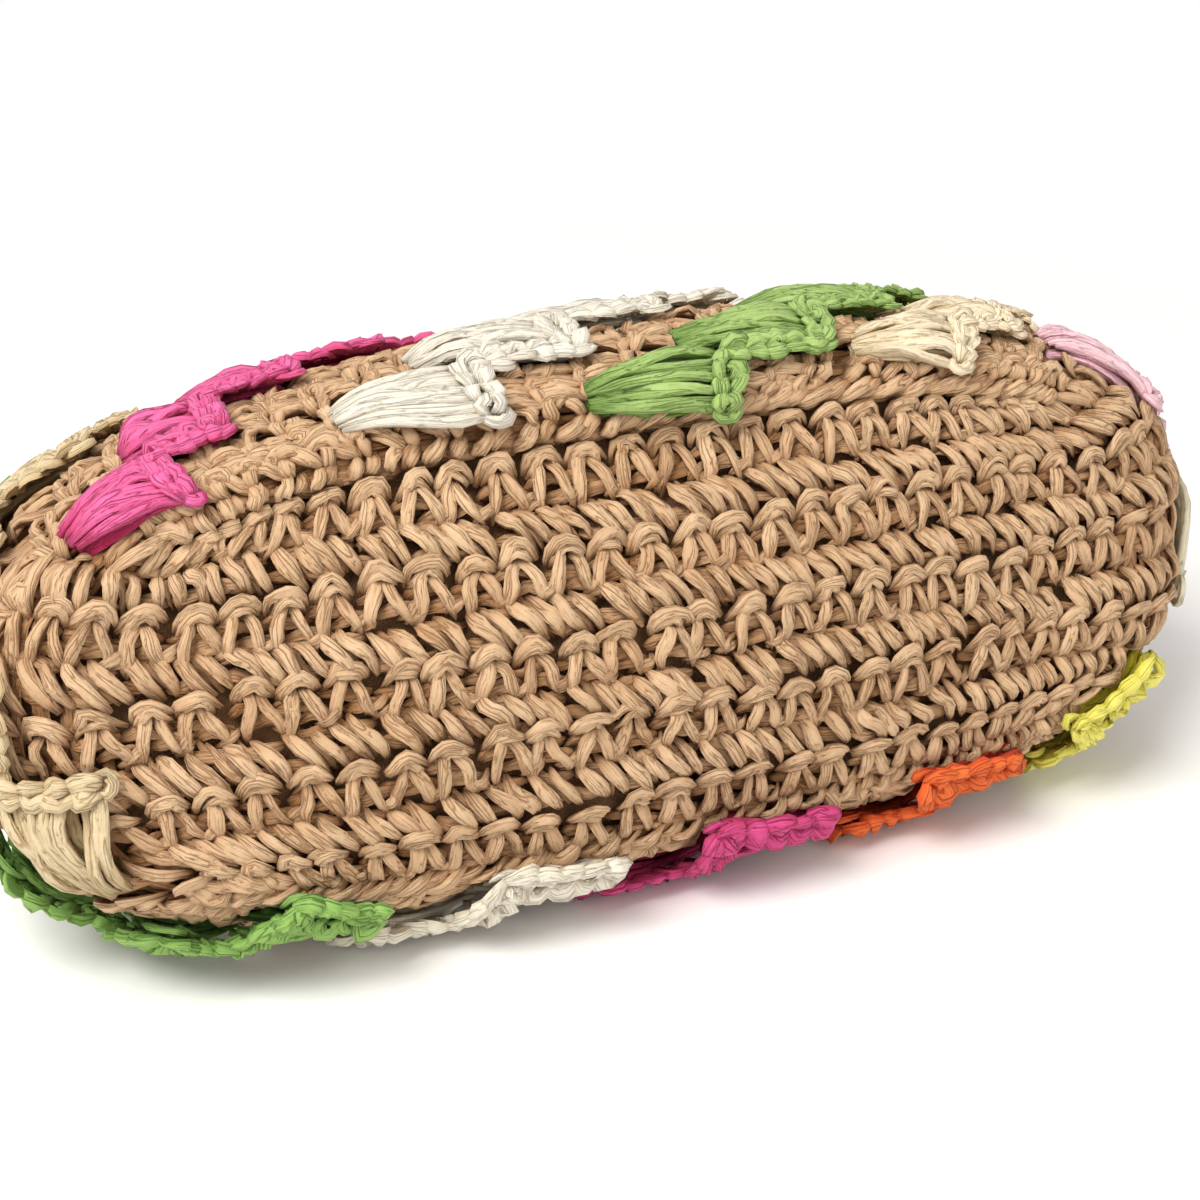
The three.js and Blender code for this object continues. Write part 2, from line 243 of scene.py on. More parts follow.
def row_point(points):
    """Places (stitch, row, height) over the base's rows, which run on over its two ends."""
    a, b, height = points[..., 0], points[..., 1], points[..., 2]
    around, run = row_place(a, b)
    side = side_point(np.stack([around, np.maximum(run, 0), height], -1))
    panel = panel_point(np.stack([np.clip(a, 0, BASE_STITCHES), b, height], -1))
    over = (run > 0)[..., None]
    return np.where(over, side[0], panel[0]), np.where(over, side[1], panel[1])


def smooth_through(points, samples):
    """Samples a smooth curve through each row of control points."""
    count = points.shape[1]
    padded = np.concatenate(
        [2 * points[:, :1] - points[:, 1:2], points, 2 * points[:, -1:] - points[:, -2:-1]], axis=1
    )
    at = np.linspace(0, count - 1, samples)
    k = np.minimum(at.astype(int), count - 2)
    t = (at - k)[None, :, None]
    p0, p1, p2, p3 = (padded[:, k + n] for n in range(4))
    return 0.5 * (
        2 * p1 + (p2 - p0) * t + (2 * p0 - 5 * p1 + 4 * p2 - p3) * t**2 + (3 * p1 - p0 - 3 * p2 + p3) * t**3
    )


class Yarn:
    """Collects strands of flat creased yarn and makes one mesh of them."""

    # How far the flat section turns along a strand, and how its ends taper and it swells.
    TURN = 0.35
    TURN_RATE = 3.0
    TURN_SPREAD = 0.25
    TAPER_RUN = 0.45
    SWELL = 0.08
    SWELL_SHIFT = 2.3
    SWELL_RATE = 9
    # The grooves in its two flat faces, its flatness and its folds.
    GROOVE_DEPTH = 0.40
    GROOVE_WIDTH = 0.35
    FLATNESS = 0.8
    FOLD = 0.25
    FOLD_LIMIT = 0.38
    CRUMPLE = 0.065
    # How far along the paper a strand may start, in millimetres.
    PAPER_LENGTH = 400

    def __init__(self, seed):
        self.rng = np.random.default_rng(seed)
        self.batches = []

    def lay(self, place, strokes, width, thickness, samples=9, sides=8, ends=(0.5, 0.5)):
        """Lays strands along rows of control points, each point placed over its surface."""
        curves = smooth_through(np.asarray(strokes, float), samples)
        line, normal = place(curves)
        self.sweep(line, normal, curves[..., 2], width, thickness, sides, ends)

    def sweep(self, line, normal, depth, width, thickness, sides, ends):
        """Sweeps the yarn's creased section along lines of points in millimetres."""
        strands, samples = line.shape[:2]
        tangent = unit(np.gradient(line, axis=1))
        normal = unit(normal - tangent * np.sum(normal * tangent, -1, keepdims=True))
        across = np.cross(tangent, normal)
        along = np.linspace(0, 1, samples)
        phase = self.rng.uniform(0, 2 * math.pi, (strands, 1))
        turn = self.TURN * np.sin(phase + self.TURN_RATE * along)
        turn = turn + self.rng.uniform(-self.TURN_SPREAD, self.TURN_SPREAD, (strands, 1))
        taper = [
            end + (1 - end) * np.sin(np.clip(run / self.TAPER_RUN, 0, 1) * math.pi / 2)
            for end, run in zip(ends, (along, 1 - along))
        ]
        swell = 1 + self.SWELL * np.sin(self.SWELL_SHIFT * phase + self.SWELL_RATE * along)
        swell = np.minimum(*taper) * swell
        angle = math.pi / 2 + np.arange(sides) * 2 * math.pi / sides
        groove = 1 - self.GROOVE_DEPTH * np.exp(-((np.cos(angle) / self.GROOVE_WIDTH) ** 2))
        flat_x = np.sign(np.cos(angle)) * np.abs(np.cos(angle)) ** self.FLATNESS
        flat_y = np.sin(angle) * groove
        folds = self.rng.normal(0, self.FOLD, (2, strands, 1, sides)).clip(-self.FOLD_LIMIT, self.FOLD_LIMIT)
        crumple = 1 + folds[0] * (1 - along)[:, None] + folds[1] * along[:, None]
        crumple = crumple + self.rng.normal(0, self.CRUMPLE, (strands, samples, sides))
        x = (width / 2 * swell)[..., None] * flat_x * crumple
        y = (thickness / 2 * swell)[..., None] * flat_y * crumple
        sine, cosine = np.sin(turn)[..., None], np.cos(turn)[..., None]
        x, y = x * cosine - y * sine, x * sine + y * cosine
        rings = line[:, :, None] + across[:, :, None] * x[..., None] + normal[:, :, None] * y[..., None]
        length = np.linalg.norm(np.diff(line, axis=1), axis=-1).cumsum(axis=1)
        length = np.concatenate([np.zeros((strands, 1)), length], axis=1)
        self.batches.append((rings, length, depth))

    def mesh(self, name):
        """One mesh of all the strands, with a map along and round each strand, its own tone and its depth."""
        points, corners, starts, totals, maps, tones, depths = [], [], [], [], [], [], []
        base = loop_at = 0
        for rings, length, depth in self.batches:
            strands, samples, sides = rings.shape[:3]
            ids = base + np.arange(strands * samples * sides).reshape(strands, samples, sides)
            after = np.roll(ids, -1, axis=2)
            quads = np.stack([ids[:, :-1], after[:, :-1], after[:, 1:], ids[:, 1:]], -1)
            round_at = np.arange(sides) / sides
            along = length + self.rng.uniform(0, self.PAPER_LENGTH, (strands, 1))
            low, high = along[:, :-1, None], along[:, 1:, None]
            after_at = round_at + 1 / sides
            pairs = ((low, round_at), (low, after_at), (high, after_at), (high, round_at))
            quad_map = np.stack([np.stack(np.broadcast_arrays(*pair), -1) for pair in pairs], -2)
            caps = np.concatenate([ids[:, 0, ::-1], ids[:, -1]])
            cap_along = np.concatenate([along[:, 0], along[:, -1]])
            cap_map = np.stack(np.broadcast_arrays(cap_along[:, None], round_at), -1)
            points.append(rings.reshape(-1, 3))
            corners += [quads.reshape(-1), caps.reshape(-1)]
            maps += [quad_map.reshape(-1, 2), cap_map.reshape(-1, 2)]
            faces = quads.size // 4
            starts.append(loop_at + 4 * np.arange(faces))
            totals.append(np.full(faces, 4))
            loop_at += quads.size
            starts.append(loop_at + sides * np.arange(len(caps)))
            totals.append(np.full(len(caps), sides))
            loop_at += caps.size
            tone = self.rng.uniform(0, 1, (strands, 1, 1))
            tones.append(np.broadcast_to(tone, ids.shape).reshape(-1))
            depths.append(np.broadcast_to(depth[..., None], ids.shape).reshape(-1))
            base += ids.size
        mesh = bpy.data.meshes.new(name)
        vertices = (np.concatenate(points) + SHIFT) * MM
        vertices[:, 2] = np.maximum(vertices[:, 2], 0)
        loops = np.concatenate(corners)
        mesh.vertices.add(len(vertices))
        mesh.vertices.foreach_set("co", vertices.astype(np.float32).ravel())
        mesh.loops.add(len(loops))
        mesh.loops.foreach_set("vertex_index", loops.astype(np.int32))
        first = np.concatenate(starts)
        mesh.polygons.add(len(first))
        mesh.polygons.foreach_set("loop_start", first.astype(np.int32))
        mesh.polygons.foreach_set("loop_total", np.concatenate(totals).astype(np.int32))
        mesh.polygons.foreach_set("use_smooth", np.ones(len(first), bool))
        mesh.update(calc_edges=True)
        uv = mesh.uv_layers.new(name="yarn")
        uv.data.foreach_set("uv", np.concatenate(maps).astype(np.float32).ravel())
        for title, values in (("strand", tones), ("height", depths)):
            layer = mesh.attributes.new(title, "FLOAT", "POINT")
            layer.data.foreach_set("value", np.concatenate(values).astype(np.float32))
        self.mark_folds(mesh)
        return mesh

    def mark_folds(self, mesh):
        """Keeps every second lengthwise edge of each strand crisp, as a fold in the paper."""
        ends = np.empty(2 * len(mesh.edges), np.int32)
        mesh.edges.foreach_get("vertices", ends)
        ends = np.sort(ends.reshape(-1, 2), axis=1)
        sizes = np.array([rings[..., 0].size for rings, _, _ in self.batches])
        bases = np.concatenate([[0], np.cumsum(sizes)[:-1]])
        sides = np.array([rings.shape[2] for rings, _, _ in self.batches])
        batch = np.searchsorted(bases, ends[:, 0], side="right") - 1
        lengthwise = ends[:, 1] - ends[:, 0] == sides[batch]
        folded = lengthwise & ((ends[:, 0] - bases[batch]) % sides[batch] % 2 == 0)
        layer = mesh.attributes.new("sharp_edge", "BOOLEAN", "EDGE")
        layer.data.foreach_set("value", folded)


def add_piece(name, mesh, material, nodes):
    """Links a finished mesh as a piece that stands for CAD nodes."""
    piece = bpy.data.objects.new(name, mesh)
    bpy.context.scene.collection.objects.link(piece)
    mesh.materials.append(material)
    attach(piece, "root")
    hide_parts(*nodes)
    return piece


def jittered(rng, strokes, along, up, height):
    """The hand's unevenness: each control point moved a little along, up and in height."""
    strokes = np.asarray(strokes, float)
    return strokes + rng.normal(0, 1, strokes.shape) * np.array([along, up, height])


def link_math(tree, operation, first, second=None):
    """A math node on two values, each a socket or a number; gives its result."""
    node = tree.nodes.new("ShaderNodeMath")
    node.operation = operation
    for index, value in enumerate((first, second)):
        if value is None:
            continue
        if isinstance(value, (int, float)):
            node.inputs[index].default_value = value
        else:
            tree.links.new(value, node.inputs[index])
    return node.outputs[0]


def link_noise(tree, vector, detail):
    """Noise over a vector; gives its value."""
    node = tree.nodes.new("ShaderNodeTexNoise")
    node.inputs["Scale"].default_value = 1.0
    node.inputs["Detail"].default_value = detail
    node.inputs["Roughness"].default_value = 0.55
    tree.links.new(vector, node.inputs["Vector"])
    return node.outputs["Fac"]


def link_range(tree, value, low, high, to_low, to_high):
    """A value carried from one range to another; gives the result."""
    node = tree.nodes.new("ShaderNodeMapRange")
    node.inputs["From Min"].default_value = low
    node.inputs["From Max"].default_value = high
    node.inputs["To Min"].default_value = to_low
    node.inputs["To Max"].default_value = to_high
    tree.links.new(value, node.inputs["Value"])
    return node.outputs["Result"]


def link_bump(tree, shader, height, strength, distance):
    """Roughens a shader's surface by a height."""
    bump = tree.nodes.new("ShaderNodeBump")
    bump.inputs["Strength"].default_value = strength
    bump.inputs["Distance"].default_value = distance
    tree.links.new(height, bump.inputs["Height"])
    tree.links.new(bump.outputs["Normal"], shader.inputs["Normal"])


def new_material(name):
    """A new material, with its node tree and its shader."""
    material = bpy.data.materials.new(name)
    material.use_nodes = True
    return material, material.node_tree, material.node_tree.nodes["Principled BSDF"]


def creased_paper_group():
    """Fibres, creases and tone of twisted paper tape, read along and round each strand, with painted shade
    darkening the colour in creases, crumple hollows, recesses and on each strand's underside.
    """
    group = bpy.data.node_groups.new("Creased paper straw", "ShaderNodeTree")
    for way, kind, names in (
        ("INPUT", "NodeSocketColor", ("Colour", "Crease")),
        ("INPUT", "NodeSocketFloat", ("Deepest", "Highest")),
        ("OUTPUT", "NodeSocketColor", ("Colour",)),
        ("OUTPUT", "NodeSocketFloat", ("Roughness", "Height")),
    ):
        for name in names:
            group.interface.new_socket(name=name, in_out=way, socket_type=kind)
    nodes, links = group.nodes, group.links
    source = nodes.new("NodeGroupInput")
    result = nodes.new("NodeGroupOutput")
    uv = nodes.new("ShaderNodeUVMap")
    uv.uv_map = "yarn"
    split = nodes.new("ShaderNodeSeparateXYZ")
    links.new(uv.outputs["UV"], split.inputs["Vector"])
    strand = nodes.new("ShaderNodeAttribute")
    strand.attribute_name = "strand"
    height = nodes.new("ShaderNodeAttribute")
    height.attribute_name = "height"
    ring = link_math(group, "MULTIPLY", split.outputs["Y"], 2 * math.pi)
    around_x = link_math(group, "COSINE", ring)
    around_y = link_math(group, "SINE", ring)

    def strand_vector(along, around):
        """A place on the strand, scaled along it and round it."""
        node = nodes.new("ShaderNodeCombineXYZ")
        links.new(link_math(group, "MULTIPLY", split.outputs["X"], along), node.inputs["X"])
        links.new(link_math(group, "MULTIPLY", around_x, around), node.inputs["Y"])
        links.new(link_math(group, "MULTIPLY", around_y, around), node.inputs["Z"])
        return node.outputs["Vector"]

    fibre = link_noise(group, strand_vector(0.14, 6.0), 2.0)
    crumple = link_noise(group, strand_vector(0.55, 1.2), 3.0)
    # Dark fold lines: painted shade in the paper's creases; the same lines also sink the bump.
    folds = []
    for along, around, width in ((0.05, 0.7, 0.026), (0.09, 1.7, 0.03)):
        crease = link_noise(group, strand_vector(along, around), 1.0)
        distance = link_math(group, "ABSOLUTE", link_math(group, "SUBTRACT", crease, 0.5))
        folds.append(link_range(group, distance, 0.0, width, 0.0, 1.0))
    # Patches where the second set of painted crease shade fades out.
    fold_fade = link_range(group, crumple, 0.42, 0.56, 0.0, 0.8)
    fold_line = link_math(group, "MINIMUM", folds[0], link_math(group, "MAXIMUM", folds[1], fold_fade))
    # Painted shade: the lower a strand lies below the surface, the darker it is, as shade in the recesses
    # between stitches.
    sunk = nodes.new("ShaderNodeMapRange")
    sunk.inputs["To Min"].default_value = 0.15
    sunk.inputs["To Max"].default_value = 1.0
    links.new(height.outputs["Fac"], sunk.inputs["Value"])
    links.new(source.outputs["Deepest"], sunk.inputs["From Min"])
    links.new(source.outputs["Highest"], sunk.inputs["From Max"])
    light = sunk.outputs["Result"]
    # Each mark darkens the light factor: fibre grain, partly painted shade in its grooves; painted shade in
    # the fold lines and the crumple's hollows; painted shade on the strand's underside and sides; and each
    # strand's own random tone.
    for value, low, high, darkest in (
        (fibre, 0.3, 0.7, 0.8),
        (fold_line, 0.0, 1.0, 0.3),
        (crumple, 0.3, 0.7, 0.82),
        (around_x, -0.4, 0.45, 0.5),
        (strand.outputs["Fac"], 0.0, 1.0, 0.86),
    ):
        light = link_math(group, "MULTIPLY", light, link_range(group, value, low, high, darkest, 1.0))
    # Painted shade: the light factor mixes from the painted shade colour up to the paper's own colour.
    shade = nodes.new("ShaderNodeMix")
    shade.data_type = "RGBA"
    links.new(light, shade.inputs["Factor"])
    links.new(source.outputs["Crease"], shade.inputs["A"])
    links.new(source.outputs["Colour"], shade.inputs["B"])
    links.new(shade.outputs["Result"], result.inputs["Colour"])
    links.new(link_range(group, fibre, 0.3, 0.7, 0.82, 0.6), result.inputs["Roughness"])
    relief = link_math(group, "MULTIPLY", fold_line, 0.9)
    for value, share in ((fibre, 0.4), (crumple, 0.9)):
        relief = link_math(group, "ADD", relief, link_math(group, "MULTIPLY", value, share))
    links.new(relief, result.inputs["Height"])
    return group


def straw_material(name, colour, deepest, highest):
    """Matte creased paper straw in one colour, with painted shade in its creases, recesses and undersides;
    the paler it is, the paler is that painted shade.
    """
    material, tree, shader = new_material(name)
    shader.inputs["Specular IOR Level"].default_value = 0.22
    shader.inputs["Sheen Weight"].default_value = 0.03
    paper = tree.nodes.new("ShaderNodeGroup")
    paper.node_tree = bpy.data.node_groups.get("Creased paper straw") or creased_paper_group()
    paper.inputs["Colour"].default_value = (*colour, 1)
    # The painted shade colour: a darker copy of the paper's colour, deeper in hue, standing in for shade in
    # creases and gaps.
    bright, depth = (start + change * min(colour) for start, change in (PAINTED_SHADE_BRIGHTNESS, PAINTED_SHADE_DEPTH))
    paper.inputs["Crease"].default_value = (*(bright * part**depth for part in colour), 1)
    paper.inputs["Deepest"].default_value = deepest
    paper.inputs["Highest"].default_value = highest
    tree.links.new(paper.outputs["Colour"], shader.inputs["Base Color"])
    tree.links.new(paper.outputs["Roughness"], shader.inputs["Roughness"])
    link_bump(tree, shader, paper.outputs["Height"], 0.75, 0.0007)
    return material


def lining_material(colour):
    """Plain-woven brown cloth."""
    thread = 0.8
    material, tree, shader = new_material("lining_cloth")
    shader.inputs["Roughness"].default_value = 0.9
    shader.inputs["Specular IOR Level"].default_value = 0.2
    shader.inputs["Sheen Weight"].default_value = 0.2
    uv = tree.nodes.new("ShaderNodeUVMap")
    uv.uv_map = "cloth"
    split = tree.nodes.new("ShaderNodeSeparateXYZ")
    tree.links.new(uv.outputs["UV"], split.inputs["Vector"])
    threads = []
    for axis in ("X", "Y"):
        turns = link_math(tree, "MULTIPLY", split.outputs[axis], 2 * math.pi / thread)
        threads.append(link_math(tree, "SINE", turns))
    weave = link_math(tree, "MULTIPLY", *threads)
    slub = link_noise(tree, uv.outputs["UV"], 3.0)
    woven = link_range(tree, weave, -1.0, 1.0, 0.72, 1.12)
    shade = link_math(tree, "MULTIPLY", woven, link_range(tree, slub, 0.3, 0.7, 0.85, 1.1))
    tint = tree.nodes.new("ShaderNodeVectorMath")
    tint.operation = "SCALE"
    tint.inputs[0].default_value = colour
    tree.links.new(shade, tint.inputs["Scale"])
    tree.links.new(tint.outputs["Vector"], shader.inputs["Base Color"])
    link_bump(tree, shader, weave, 0.5, 0.0003)
    return material


def colour_property(label, value):
    """A colour that the panel shows."""
    about = f"Colour of the {label.lower()}"
    return bpy.props.FloatVectorProperty(
        name=label, description=about, subtype="COLOR", size=3, default=value, min=0, max=1
    )


def size_property(label, about, value, low, high):
    """A size in millimetres that the panel shows."""
    return bpy.props.FloatProperty(name=label, description=about, default=value, min=low, max=high)


class HandbagYarn(bpy.types.PropertyGroup):
    """The yarn's own sizes."""

    width: size_property("Yarn width", "Width of the flat paper yarn, in millimetres", 4.6, 2, 8)
    thickness: size_property("Yarn thickness", "Thickness of the folded yarn, in millimetres", 2.9, 1, 5)


class HandbagColours(bpy.types.PropertyGroup):
    """The colours of the straw and the cloth."""

    brown: colour_property("Brown straw", (0.72, 0.51, 0.315))
    # The lining's brown is partly the cloth's own colour and partly painted shade: darker and warmer than the
    # cloth, for the shadowed gaps between the strands.
    lining: colour_property("Lining cloth", (0.23, 0.115, 0.052))
    pink: colour_property("Pink strip", (0.82, 0.165, 0.4))
    white: colour_property("White strip", (0.80, 0.755, 0.66))
    green: colour_property("Green strip", (0.43, 0.59, 0.2))
    beige: colour_property("Beige strip", (0.86, 0.75, 0.56))
    pale_pink: colour_property("Pale pink strip", (0.9, 0.64, 0.69))
    ivory: colour_property("Ivory strip", (0.82, 0.76, 0.61))
    yellow: colour_property("Yellow strip", (0.88, 0.83, 0.2))
    orange: colour_property("Orange strip", (0.88, 0.19, 0.04))
    magenta: colour_property("Magenta strip", (0.72, 0.085, 0.28))
    cream: colour_property("Cream strip", (0.81, 0.755, 0.64))
    leaf_green: colour_property("Leaf green strip", (0.33, 0.54, 0.14))
    straw_beige: colour_property("Straw beige strip", (0.74, 0.61, 0.4))


def brown_straw():
    """The brown straw's material, made once."""
    name = "brown_paper_straw"
    colour = tuple(bpy.context.scene.handbag_colours.brown)
    return bpy.data.materials.get(name) or straw_material(name, colour, *BROWN_DEPTHS)


def add_brown(name, yarn, node="crocheted_body"):
    """Links a finished piece of brown straw."""
    return add_piece(name, yarn.mesh(name), brown_straw(), [node])


class HANDBAG_OT_base(bpy.types.Operator):
    """Works the base panel in rows of arched stitches and rows of slanted ones"""

    bl_idname = "handbag.base"
    bl_label = "Base panel"

    # Each strand's control points: stitches along, rows up, and the height in millimetres.
    ARCH = {
        "left_leg": [(0.16, -0.30, -3.4), (0.22, 0.12, -1.4), (0.31, 0.54, -1.0), (0.42, 0.86, -2.6)],
        "right_leg": [(1.00, -0.22, -3.4), (0.86, 0.12, -1.5), (0.70, 0.50, -1.2), (0.54, 0.84, -2.6)],
        "cap": [
            (0.02, 0.62, -3.8), (0.14, 0.88, -1.2), (0.44, 1.08, -0.2),
            (0.74, 0.98, -0.4), (0.95, 0.72, -3.2),
        ],
        "inner_cap": [
            (0.10, 0.56, -4.0), (0.24, 0.77, -1.4), (0.46, 0.91, -0.5),
            (0.68, 0.83, -0.8), (0.84, 0.62, -3.6),
        ],
        "foot": [(0.76, -0.10, -3.8), (0.94, 0.02, -1.9), (1.12, 0.12, -1.9), (1.28, 0.24, -3.8)],
        "toe": [(0.88, -0.20, -3.9), (1.02, -0.06, -2.3), (1.16, 0.02, -2.3), (1.30, 0.08, -3.9)],
        "bar": [(0.30, 0.06, -4.6), (0.62, 0.18, -3.2), (0.96, 0.16, -3.2), (1.26, 0.10, -4.6)],
        "upper_bar": [(-0.10, 0.40, -4.6), (0.22, 0.48, -3.5), (0.60, 0.46, -3.5), (0.92, 0.40, -4.6)],
    }
    SLANT = {
        "first": [(0.02, 1.00, -3.6), (0.20, 0.74, -1.2), (0.50, 0.38, -0.5), (0.78, -0.08, -3.0)],
        "second": [(0.52, 0.98, -3.8), (0.70, 0.72, -1.5), (0.98, 0.36, -0.8), (1.24, -0.08, -3.2)],
        "third": [(0.28, 1.02, -4.2), (0.46, 0.76, -3.0), (0.74, 0.40, -2.6), (1.00, -0.06, -4.0)],
        "bar": [(-0.10, 0.30, -4.4), (0.20, 0.22, -3.2), (0.56, 0.18, -3.2), (0.94, 0.12, -4.4)],
        "upper_bar": [(0.10, 0.80, -4.4), (0.40, 0.74, -3.3), (0.72, 0.72, -3.3), (1.10, 0.68, -4.4)],
    }
    # Each strand's share of the yarn's sizes, and how far its two ends taper.
    SHARES = {
        "left_leg": 0.69,
        "right_leg": 0.65,
        "cap": 0.62,
        "inner_cap": 0.54,
        "foot": 0.46,
        "toe": 0.42,
        "bar": 0.74,
        "upper_bar": 0.74,
        "first": 0.76,
        "second": 0.70,
        "third": 0.46,
    }
    ENDS = {"left_leg": (0.2, 0.65), "right_leg": (0.2, 0.65), "first": (0.25, 0.45), "second": (0.25, 0.4)}
    PLAIN_ENDS = (0.45, 0.45)
    FULLNESS = 1.1
    # Whole stitches and single points sit unevenly, and rows wave a little.
    UNEVEN = (0.075, 0.05, 0.4)
    HAND = (0.045, 0.04, 0.22)
    WAVE = 0.07
    WAVE_RATE = 0.55
    WAVE_SHIFT = 1.7
    ROW_END = 0.02

    def execute(self, context):
        yarn = Yarn(11)
        for row in range(BASE_ROWS):
            work_row(yarn, row, range(BASE_STITCHES))
        add_brown("base_stitches", yarn)
        return {"FINISHED"}


def work_row(yarn, row, columns):
    """Works part of a row of arches or of slants; each stitch sits a little unevenly."""
    base = HANDBAG_OT_base
    sizes = bpy.context.scene.handbag_yarn
    uneven = yarn.rng.normal(0, 1, (len(columns), 1, 3)) * np.array(base.UNEVEN)
    uneven[:, 0, 1] += base.WAVE * np.sin(base.WAVE_RATE * np.array(columns) + base.WAVE_SHIFT * row)
    for name, shape in (base.SLANT if row % 2 else base.ARCH).items():
        strokes = [[(i + a, row + b, h) for a, b, h in shape] for i in columns]
        strokes = jittered(yarn.rng, strokes, *base.HAND) + uneven
        strokes[..., 1] = np.clip(strokes[..., 1], base.ROW_END, BASE_ROWS - base.ROW_END)
        middle = strokes[:, 1:3].mean(axis=1)
        strokes = strokes[~on_strip(*row_place(middle[:, 0], middle[:, 1]))]
        width = base.SHARES[name] * sizes.width
        thickness = base.SHARES[name] * sizes.thickness * base.FULLNESS
        ends = base.ENDS.get(name, base.PLAIN_ENDS)
        yarn.lay(row_point, strokes, width, thickness, samples=8, sides=8, ends=ends)


def shell_posts(rng, around, run, length, spread, lift, count=SHELL_POSTS):
    """The posts of one shell, fanned unevenly from its root to its row of tops."""
    root_up, top_up, root_share = 4.5, 3.5, 0.45
    lower, upper, top_at = 0.30, 0.68, 0.98
    sway_share, rise_spread = 0.26, 0.6
    foot, low, high, end = (lift + height for height in (-3.0, -0.6, 0.0, -1.6))
    posts = []
    for n in np.arange(count) - (count - 1) / 2:
        root = run + root_up + n * root_share * spread
        top = run + top_up + n * spread
        sway = rng.normal(0, sway_share * spread, 2)
        rise = rng.normal(0, rise_spread)
        posts.append(
            [
                (around + 0.5, root, foot),
                (around + lower * length, root + lower * (top - root) + sway[0], low + rise),
                (around + upper * length, root + upper * (top - root) + sway[1], high - rise),
                (around + top_at * length, top, end),
            ]
        )
    return posts


def chain_links(points, spread, lift):
    """A chain of links through points over the side, each link two strands that open and close."""
    links = []
    for (a0, b0), (a1, b1) in zip(points[:-1], points[1:]):
        da, db = a1 - a0, b1 - b0
        size = math.hypot(da, db)
        out_a, out_b = -db / size * spread, da / size * spread
        for side in (-1, 1):
            links.append(
                [
                    (a0 + t * da + side * out * out_a, b0 + t * db + side * out * out_b, lift + height)
                    for t, out, height in CHAIN_LINK
                ]
            )
    return links


def fork(leg, across, up, step, pitch):
    """A stitch of two strands that part from one foot."""
    return [[(across + side * a * step, up + b * pitch, h) for a, b, h in leg] for side in (-1, 1)]


def even_points(start, end, count):
    """Points spaced evenly from start to end."""
    return [tuple(p) for p in np.linspace(start, end, count + 1)]


def strip_shells(start, after=0):
    """Where each shell of a strip is rooted, with some more after its last."""
    shells = int((STRIP_END - SHELL_NOTCH - start[1]) // SHELL_STEP_UP) + 1 + after
    return [(start[0] + k * SHELL_STEP_ROUND, start[1] + k * SHELL_STEP_UP) for k in range(shells)]


def on_end(around):
    """Whether a run round the panel lies on one of its short ends."""
    return np.mod(around, PERIMETER / 2) > ROUND_LONG


def on_strip(around, run):
    """Which places on the side lie under a coloured strip's first shell."""
    covered = np.zeros(np.shape(around), bool)
    for start in STRIP_STARTS.values():
        along = np.mod(around - start[0], PERIMETER)
        covered |= (along < SHELL_LENGTH + STRIP_MARGIN) & (run > start[1] - STRIP_BELOW)
    return covered


def on_side(strokes):
    """Strokes that lie between the panel's edge and the rim's own rounds, none of them below the edge."""
    strokes = np.array(strokes, float)
    runs = strokes[..., 1]
    kept = strokes[(runs.min(axis=1) > -EDGE_ROOM) & (runs.max(axis=1) < SIDE_RUN - RIM_ROOM)]
    kept[..., 1] = np.maximum(kept[..., 1], 0)
    return kept


